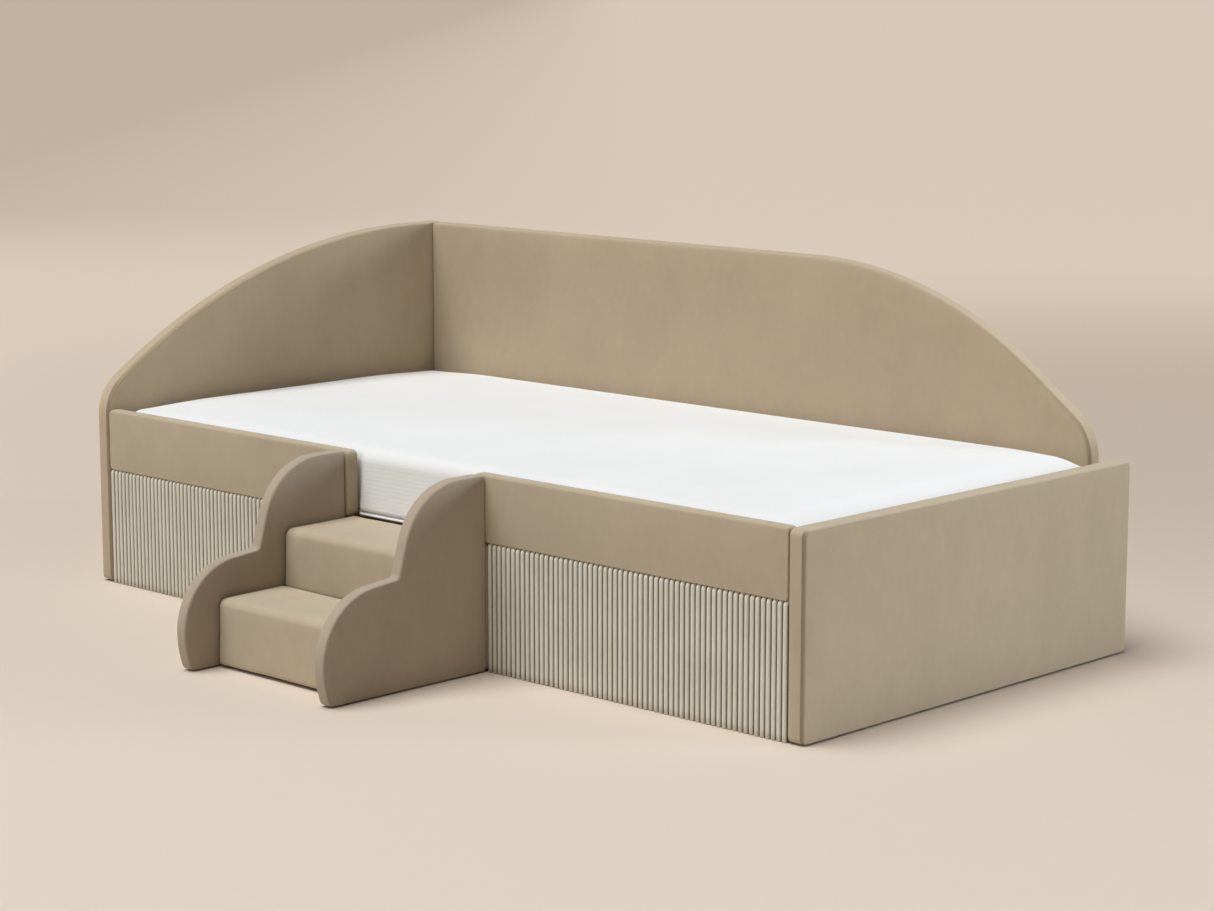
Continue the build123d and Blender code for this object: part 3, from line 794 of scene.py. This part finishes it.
def woven(name, dark, light, pitch):
    """Plain cloth: threads over and under in two directions."""
    made, tree, shader, coords = start_material(name, Sheen_Weight=0.15, Specular_IOR_Level=0.25)
    warp, weft, rise = (waves(tree, coords, pitch, axis) for axis in "XYZ")
    weave = math_node(tree, "MULTIPLY", warp, weft)
    uprights = math_node(tree, "MULTIPLY", rise, weave)
    cloud = noise(tree, coords, scale=4.0, detail=3.0)
    shade = weighted(tree, (weave, 0.3), (uprights, 0.15), (cloud, 0.55))
    grade(tree, shader, "Base Color", shade, (0.15, dark), (0.6, light))
    grade(tree, shader, "Roughness", shade, (0.2, grey(0.79)), (0.7, grey(0.91)))
    height = weighted(tree, (weave, 0.6), (uprights, 0.4), (cloud, 0.6))
    bump(tree, shader, height, distance=0.0005, strength=0.5)
    return made


def wood(name, tones, grain, layers=None):
    """Planed wood with its grain along one axis, or plywood whose layers show across another."""
    dark, light = tones
    made, tree, shader, coords = start_material(name, Specular_IOR_Level=0.35)
    stretch = tuple(0.05 if axis == grain else 1.0 for axis in "XYZ")
    rings = noise(tree, coords, scale=55.0, detail=4.0, stretch=stretch)
    lines = math_node(tree, "FRACT", math_node(tree, "MULTIPLY", rings, 7.0))
    pores = noise(tree, coords, scale=1400.0, detail=2.0, stretch=stretch)
    tint = noise(tree, coords, scale=3.0, detail=1.0)
    parts = [(lines, 0.35), (pores, 0.35), (tint, 0.3)]
    if layers:
        ply, contrast = 0.003, 60.0
        place = node(tree, "SeparateXYZ", {0: coords}).outputs[layers]
        plies = math_node(tree, "PINGPONG", place, ply)
        parts.append((plies, contrast))
    shade = weighted(tree, *parts)
    grade(tree, shader, "Base Color", shade, (0.2, dark), (0.75, light))
    grade(tree, shader, "Roughness", shade, (0.2, grey(0.7)), (0.8, grey(0.5)))
    height = weighted(tree, (lines, 0.3), (pores, 0.7))
    bump(tree, shader, height, distance=0.0003, strength=0.4)
    return made


def metal(name, dark, light, rough):
    """Plated metal with a fine grain and a few darker marks."""
    made, tree, shader, coords = start_material(name, Metallic=1.0)
    grain = noise(tree, coords, scale=900.0, detail=2.0, stretch=(1, 1, 0.1))
    marks = noise(tree, coords, scale=60.0, detail=4.0)
    shade = weighted(tree, (grain, 0.5), (marks, 0.5))
    grade(tree, shader, "Base Color", shade, (0.3, dark), (0.7, light))
    grade(tree, shader, "Roughness", shade, (0.3, grey(rough - 0.1)), (0.7, grey(rough + 0.1)))
    bump(tree, shader, grain, distance=0.0001, strength=0.3)
    return made


def moulded(name, dark, light, cell, rough):
    """Moulded nylon or open foam: a fine grain of cells."""
    made, tree, shader, coords = start_material(name, Specular_IOR_Level=0.3)
    cells = node(tree, "TexVoronoi", {"Vector": coords, "Scale": 1 / cell}).outputs["Distance"]
    cloud = noise(tree, coords, scale=40.0, detail=2.0)
    shade = weighted(tree, (cells, 0.5), (cloud, 0.5))
    grade(tree, shader, "Base Color", shade, (0.2, dark), (0.8, light))
    grade(tree, shader, "Roughness", shade, (0.2, grey(rough - 0.08)), (0.8, grey(rough + 0.08)))
    bump(tree, shader, cells, distance=cell * 0.3, strength=0.4)
    return made


SHEEN = (0.97, 0.93, 0.86, 1)
# painted shade for the rounded upright edges of the velvet covers
PAINTED_SHADE_TONE = tone(160, 146, 122)
VELVET = velvet("velvet", tone(169, 152, 124), tone(191, 174, 146), PAINTED_SHADE_TONE, SHEEN)
# a warmer copy of the velvet: painted warm bounce light on the head and back panels
WARM_BOUNCE_VELVET = velvet(
    "velvet_panel_painted_bounce", tone(173, 152, 121), tone(195, 174, 142), PAINTED_SHADE_TONE, SHEEN
)
# a darker copy of the velvet: painted shade for the cheeks, which stand in the bed's shadow
SHADED_CHEEK_VELVET = velvet(
    "velvet_cheek_painted_shade", tone(155, 138, 116), tone(176, 159, 137), PAINTED_SHADE_TONE, SHEEN
)
# the last tone is the painted shade in the valleys between the flutes
FLUTED_VELVET = corded_velvet(
    "fluted_velvet", tone(216, 212, 194), tone(237, 234, 217), tone(64, 58, 50)
)
COVER_CLOTH = woven("mattress_cloth", tone(238, 239, 239), tone(245, 246, 246), pitch=0.0011)
BASE_CLOTH = woven("base_cloth", tone(150, 148, 143), tone(176, 173, 167), pitch=0.0024)
WEBBING = woven("webbing", tone(58, 56, 54), tone(92, 88, 84), pitch=0.0016)
PINE = (tone(196, 156, 104), tone(226, 194, 146))
PINE_LONG = wood("pine_along", PINE, "X")
PINE_CROSS = wood("pine_across", PINE, "Y")
PINE_UP = wood("pine_upright", PINE, "Z")
PLYWOOD = (tone(168, 130, 88), tone(214, 182, 138))
PLY_SIDE = wood("plywood_across", PLYWOOD, "Y", layers="X")
PLY_LONG = wood("plywood_along", PLYWOOD, "X", layers="Y")
PLY_FLAT = wood("plywood_flat", PLYWOOD, "X", layers="Z")
STEEL = metal("steel", tone(120, 122, 124), tone(176, 178, 180), rough=0.38)
ZINC = metal("zinc", tone(150, 152, 156), tone(205, 207, 210), rough=0.3)
BRASS = metal("brass", tone(160, 124, 58), tone(208, 172, 96), rough=0.32)
NYLON = moulded("nylon", tone(44, 43, 42), tone(66, 64, 62), cell=0.0012, rough=0.55)
FOAM = moulded("foam", tone(216, 204, 160), tone(238, 228, 190), cell=0.0015, rough=0.9)

FINISHES = {
    PLY_SIDE: ("head_board", "foot_board", "stair_cheek_board_left", "stair_cheek_board_right"),
    PLY_LONG: (
        "back_board", "front_board", "lower_riser_board", "upper_riser_board", "stair_rear_board"
    ),
    PLY_FLAT: ("lower_tread_board", "upper_tread_board"),
    PINE_LONG: ("front_ledger", "back_ledger", "centre_beam"),
    PINE_CROSS: ("slats", "stair_cleats"),
    PINE_UP: ("centre_legs",),
    WEBBING: ("slat_tapes",),
    STEEL: ("beam_hangers", "corner_brackets"),
    ZINC: ("bracket_bolts", "base_screws", "cleat_screws"),
    BRASS: ("threaded_inserts",),
    NYLON: ("floor_glides", "stair_glides"),
    FOAM: ("mattress_core",),
}
for finish, names in FINISHES.items():
    for node_name in names:
        materials = frame["nodes"][node_name].data.materials
        materials.clear()
        materials.append(finish)


# Soft pieces

PANEL_RIM = rim(HEAD[1].x - HEAD[0].x, EDGE_R, EDGE_R, BAND_STEP)
CHEEK_THICKNESS = CHEEKS["left"][1].x - CHEEKS["left"][0].x
CHEEK_RIM = rim(CHEEK_THICKNESS, CHEEK_EDGE_R, CHEEK_EDGE_R, BAND_STEP)
RAIL_RIM = rim(RAILS["left"][1].y - RAILS["left"][0].y, RAIL_R, RAIL_R, BAND_STEP)
STEP_WIDTH = LOWER_STEP[1].x - LOWER_STEP[0].x
STEP_RIM = rim(STEP_WIDTH, STEP_END_R, STEP_END_R, STEP_BAND_STEP, STEP_MARGIN)
ENTRY_THICKNESS = ENTRY_PANEL[1].y - ENTRY_PANEL[0].y
ENTRY_RIM = rim(ENTRY_THICKNESS, ENTRY_FACE_R, ENTRY_BACK_R, THIN_BAND_STEP, THIN_MARGIN)
BORDER = [
    (inward, MATTRESS_DEPTH - BORDER_SEAM + down, 0)
    for inward, down in ((0, -BORDER_WIDTH), (BORDER_DEPTH, 0), (0, BORDER_WIDTH))
]
MATTRESS_RIM = rim(MATTRESS_DEPTH, MATTRESS_EDGE_R, MATTRESS_FOOT_R, MATTRESS_BAND_STEP)
MATTRESS_RIM = sorted(MATTRESS_RIM + BORDER, key=lambda ring: ring[1])
BASE_DEPTH = MATTRESS_BASE[1].z - MATTRESS_BASE[0].z
BASE_RIM = rim(BASE_DEPTH, BASE_EDGE_R, BASE_EDGE_R, THIN_BAND_STEP, THIN_MARGIN)

seams = {}  # points in a ring and number of the last ring, for each velvet cover


def dress(piece, finish, replaced, body):
    """Gives a soft piece its material, hides the part that it stands for, and hangs it on the body
    it rides on.
    """
    piece.data.materials.append(finish)
    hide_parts(replaced)
    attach(piece, body)


def cover(name, outline, rings, place, replaced, body, finish=VELVET, crisp=(), shade_paint=(0, 0),
          stapled=True):
    """A velvet cover with a crisp underside; one that isn't stapled swells at its edge too."""
    slack = 0.0 if stapled else SWELL
    piece, count = pad(name, outline, rings, place, (UNDERSIDE, *crisp), slack=slack, shade_paint=shade_paint)
    if stapled:
        hold(piece, range(FACE_RING * count, (len(rings) - FACE_RING) * count))
    dress(piece, finish, replaced, body)
    seams[piece] = (count, len(rings) - 1)


cover("head_cover", head_outline(), PANEL_RIM, across(HEAD[0].x), "head_pad", "bed_frame",
      WARM_BOUNCE_VELVET, shade_paint=(0, 1))
cover("foot_cover", foot_outline(), PANEL_RIM, across(FOOT[0].x), "foot_pad", "bed_frame",
      shade_paint=(0, 1))
cover("back_cover", back_outline(), PANEL_RIM, along(BACK_PANEL[0].y), "back_pad", "bed_frame",
      WARM_BOUNCE_VELVET, shade_paint=(1, 0))
cover("lower_step_cover", lower_step_outline(), STEP_RIM, across(LOWER_STEP[0].x),
      "lower_step_pad", "stair", stapled=False)
cover("upper_step_cover", upper_step_outline(), STEP_RIM, across(UPPER_STEP[0].x),
      "upper_step_pad", "stair", stapled=False)
cover("entry_cover", entry_outline(), ENTRY_RIM, along(FRONT), "entry_panel", "bed_frame")
for side in SIDES:
    cover("rail_cover_" + side, rail_outline(side), RAIL_RIM, along(FRONT), "rail_pad_" + side,
          "bed_frame", crisp=ENDS)
    cover("cheek_cover_" + side, cheek_outline(), CHEEK_RIM, across(CHEEKS[side][0].x),
          "stair_cheek_pad_" + side, "stair", SHADED_CHEEK_VELVET, crisp=(STAIR_REAR,), shade_paint=(0, 0.5))

place = downward(MATTRESS[1].z)
mattress, _ = pad("mattress_soft_cover", mattress_outline(), MATTRESS_RIM, place, slack=SWELL)
dress(mattress, COVER_CLOTH, "mattress_cover", "mattress")

blow_up([*seams, mattress])
for piece, (count, last) in seams.items():
    sew(piece, count, last)
crown(mattress)
bulge_into_entry(mattress)

place = downward(MATTRESS_BASE[1].z)
base, _ = pad("mattress_base_cloth", mattress_outline(), BASE_RIM, place, swell=0.0)
dress(base, BASE_CLOTH, "mattress_base", "mattress")

for piece in (*seams, mattress, base):
    smooth = piece.modifiers.new("subdivision", "SUBSURF")
    smooth.levels = smooth.render_levels = 1

REACHES = {"left": (-INNER, CHEEKS["left"][0].x), "right": (CHEEKS["right"][1].x, INNER)}
for seed, side in enumerate(SIDES):
    low, high = (p.copy() for p in FLUTES[side])
    low.x, high.x = REACHES[side]
    low.z, high.z = FLUTE_FLOOR, RAILS[side][0].z
    flutes = fluted("flutes_" + side, low, high, seed)
    dress(flutes, FLUTED_VELVET, "fluted_panel_" + side, "bed_frame")


# Floor, light and camera

FLOOR_REACH = 150.0
FLOOR_NEAR, FLOOR_FAR = tone(219, 206, 191), tone(224, 208, 191)
FLOOR_FADE = (1.5, 6.0)  # distances from near tone to far tone
SIDEWAYS, OUTWARD = (0.72, 0.69, 0), (-0.69, 0.72, 0)  # directions across the floor
DIM_SIDEWAYS = (0.5, -4.0)  # painted shade: the floor is darker far to the left
DIM_OUTWARD = (6.5, 10.5)
PAINTED_SHADOW_PLACE = (-0.2, 3.2, 0)  # and a painted shadow round a place behind the foot end
PAINTED_SHADOW_ROUND = (5.0, 0.8)
PAINTED_SHADE_TINT = (0.78, 0.76, 0.74, 1)
SENSOR = 36.0
FAR_CLIP = 500.0


def linked(name, data):
    """A new object in the scene."""
    made = bpy.data.objects.new(name, data)
    bpy.context.scene.collection.objects.link(made)
    return made


def floor():
    """One plain sheet, a little lighter in the distance, with painted shade in two wide patches:
    far to the left, and a painted shadow behind the foot end.
    """
    made, tree, shader, coords = start_material("floor", Roughness=0.9, Specular_IOR_Level=0.1)
    away = map_range(tree, vector_math(tree, "LENGTH", coords), *FLOOR_FADE)
    cloud = weighted(tree, (noise(tree, coords, scale=0.4), 0.1), (away, 1.0))
    colour = ramp(tree, cloud, (0.05, FLOOR_NEAR), (1.0, FLOOR_FAR))
    sideways = vector_math(tree, "DOT_PRODUCT", coords, SIDEWAYS)
    outward = vector_math(tree, "DOT_PRODUCT", coords, OUTWARD)
    left = map_range(tree, sideways, *DIM_SIDEWAYS)
    far_off = map_range(tree, outward, *DIM_OUTWARD, "SMOOTHSTEP")
    far_left = math_node(tree, "MULTIPLY", left, far_off)
    from_place = vector_math(tree, "DISTANCE", coords, PAINTED_SHADOW_PLACE)
    behind = map_range(tree, from_place, *PAINTED_SHADOW_ROUND, "SMOOTHSTEP")
    # painted shade over the floor's colour
    shade_share = math_node(tree, "MAXIMUM", far_left, behind)
    tint = ramp(tree, shade_share, (0.0, WHITE), (1.0, PAINTED_SHADE_TINT))
    tree.links.new(multiplied(tree, colour, tint), shader.inputs["Base Color"])
    signs = ((-1, -1), (1, -1), (1, 1), (-1, 1))
    mesh = bpy.data.meshes.new("floor")
    mesh.from_pydata([(x * FLOOR_REACH, y * FLOOR_REACH, 0) for x, y in signs], [], [(0, 1, 2, 3)])
    mesh.materials.append(made)
    linked("floor", mesh)


def facing(direction):
    """The turn of a lamp or camera that looks in a direction."""
    return Vector(direction).to_track_quat("-Z", "Y").to_euler()


def lamp(name, place, target, size, power, colour, spread=180):
    """A square softbox aimed at a point, its light held to a cone by a spread in degrees."""
    light = bpy.data.lights.new(name, "AREA")
    light.size = size
    light.energy = power
    light.color = colour
    light.spread = math.radians(spread)
    made = linked(name, light)
    made.location = place
    made.rotation_euler = facing(Vector(target) - Vector(place))


def sun(name, towards, strength, spread):
    """Even light over the whole floor, as soft as its spread in degrees."""
    light = bpy.data.lights.new(name, "SUN")
    light.energy = strength
    light.angle = math.radians(spread)
    linked(name, light).rotation_euler = facing(-Vector(towards))


def world(colour, strength, seen):
    """Weak light from all round, and the tone that the camera sees beyond the floor."""
    made = bpy.data.worlds.new("studio")
    bpy.context.scene.world = made
    made.use_nodes = True
    tree = made.node_tree
    light = tree.nodes["Background"]
    light.inputs["Color"].default_value = colour
    light.inputs["Strength"].default_value = strength
    shown = node(tree, "Background", {"Color": seen, "Strength": 1.0})
    mix = node(tree, "MixShader", {1: light.outputs[0], 2: shown.outputs[0]})
    tree.links.new(node(tree, "LightPath").outputs["Is Camera Ray"], mix.inputs[0])
    tree.links.new(mix.outputs[0], tree.nodes["World Output"].inputs["Surface"])


def camera(place, yaw, pitch, lens):
    """The photograph's view: a camera turned by yaw and tipped down by pitch, in radians."""
    made = linked("camera", bpy.data.cameras.new("camera"))
    made.data.sensor_fit = "HORIZONTAL"
    made.data.sensor_width = SENSOR
    made.data.lens = lens
    made.data.clip_end = FAR_CLIP
    level = math.cos(pitch)
    made.location = place
    made.rotation_euler = facing((math.sin(yaw) * level, math.cos(yaw) * level, -math.sin(pitch)))
    bpy.context.scene.camera = made


floor()
sun("overhead", towards=(-0.15, -0.25, 1.0), strength=2.85, spread=40)
lamp("front_softbox", place=(-1.4, -6.3, 2.8), target=(0.0, 0.0, 0.3), size=3.0, power=62.0,
     colour=(0.94, 0.98, 1.0))
lamp("right_softbox", place=(7.4, 4.6, 1.55), target=(0.3, 0.1, 0.3), size=2.5, power=24.0,
     colour=(0.84, 0.93, 1.0), spread=45)
world(colour=(1.0, 0.98, 0.95, 1), strength=0.08, seen=tone(205, 190, 173))
camera((4.101563, -4.002109, 1.321219), yaw=-0.766235, pitch=0.166865, lens=86.014)
bpy.context.scene.view_settings.view_transform = "Standard"
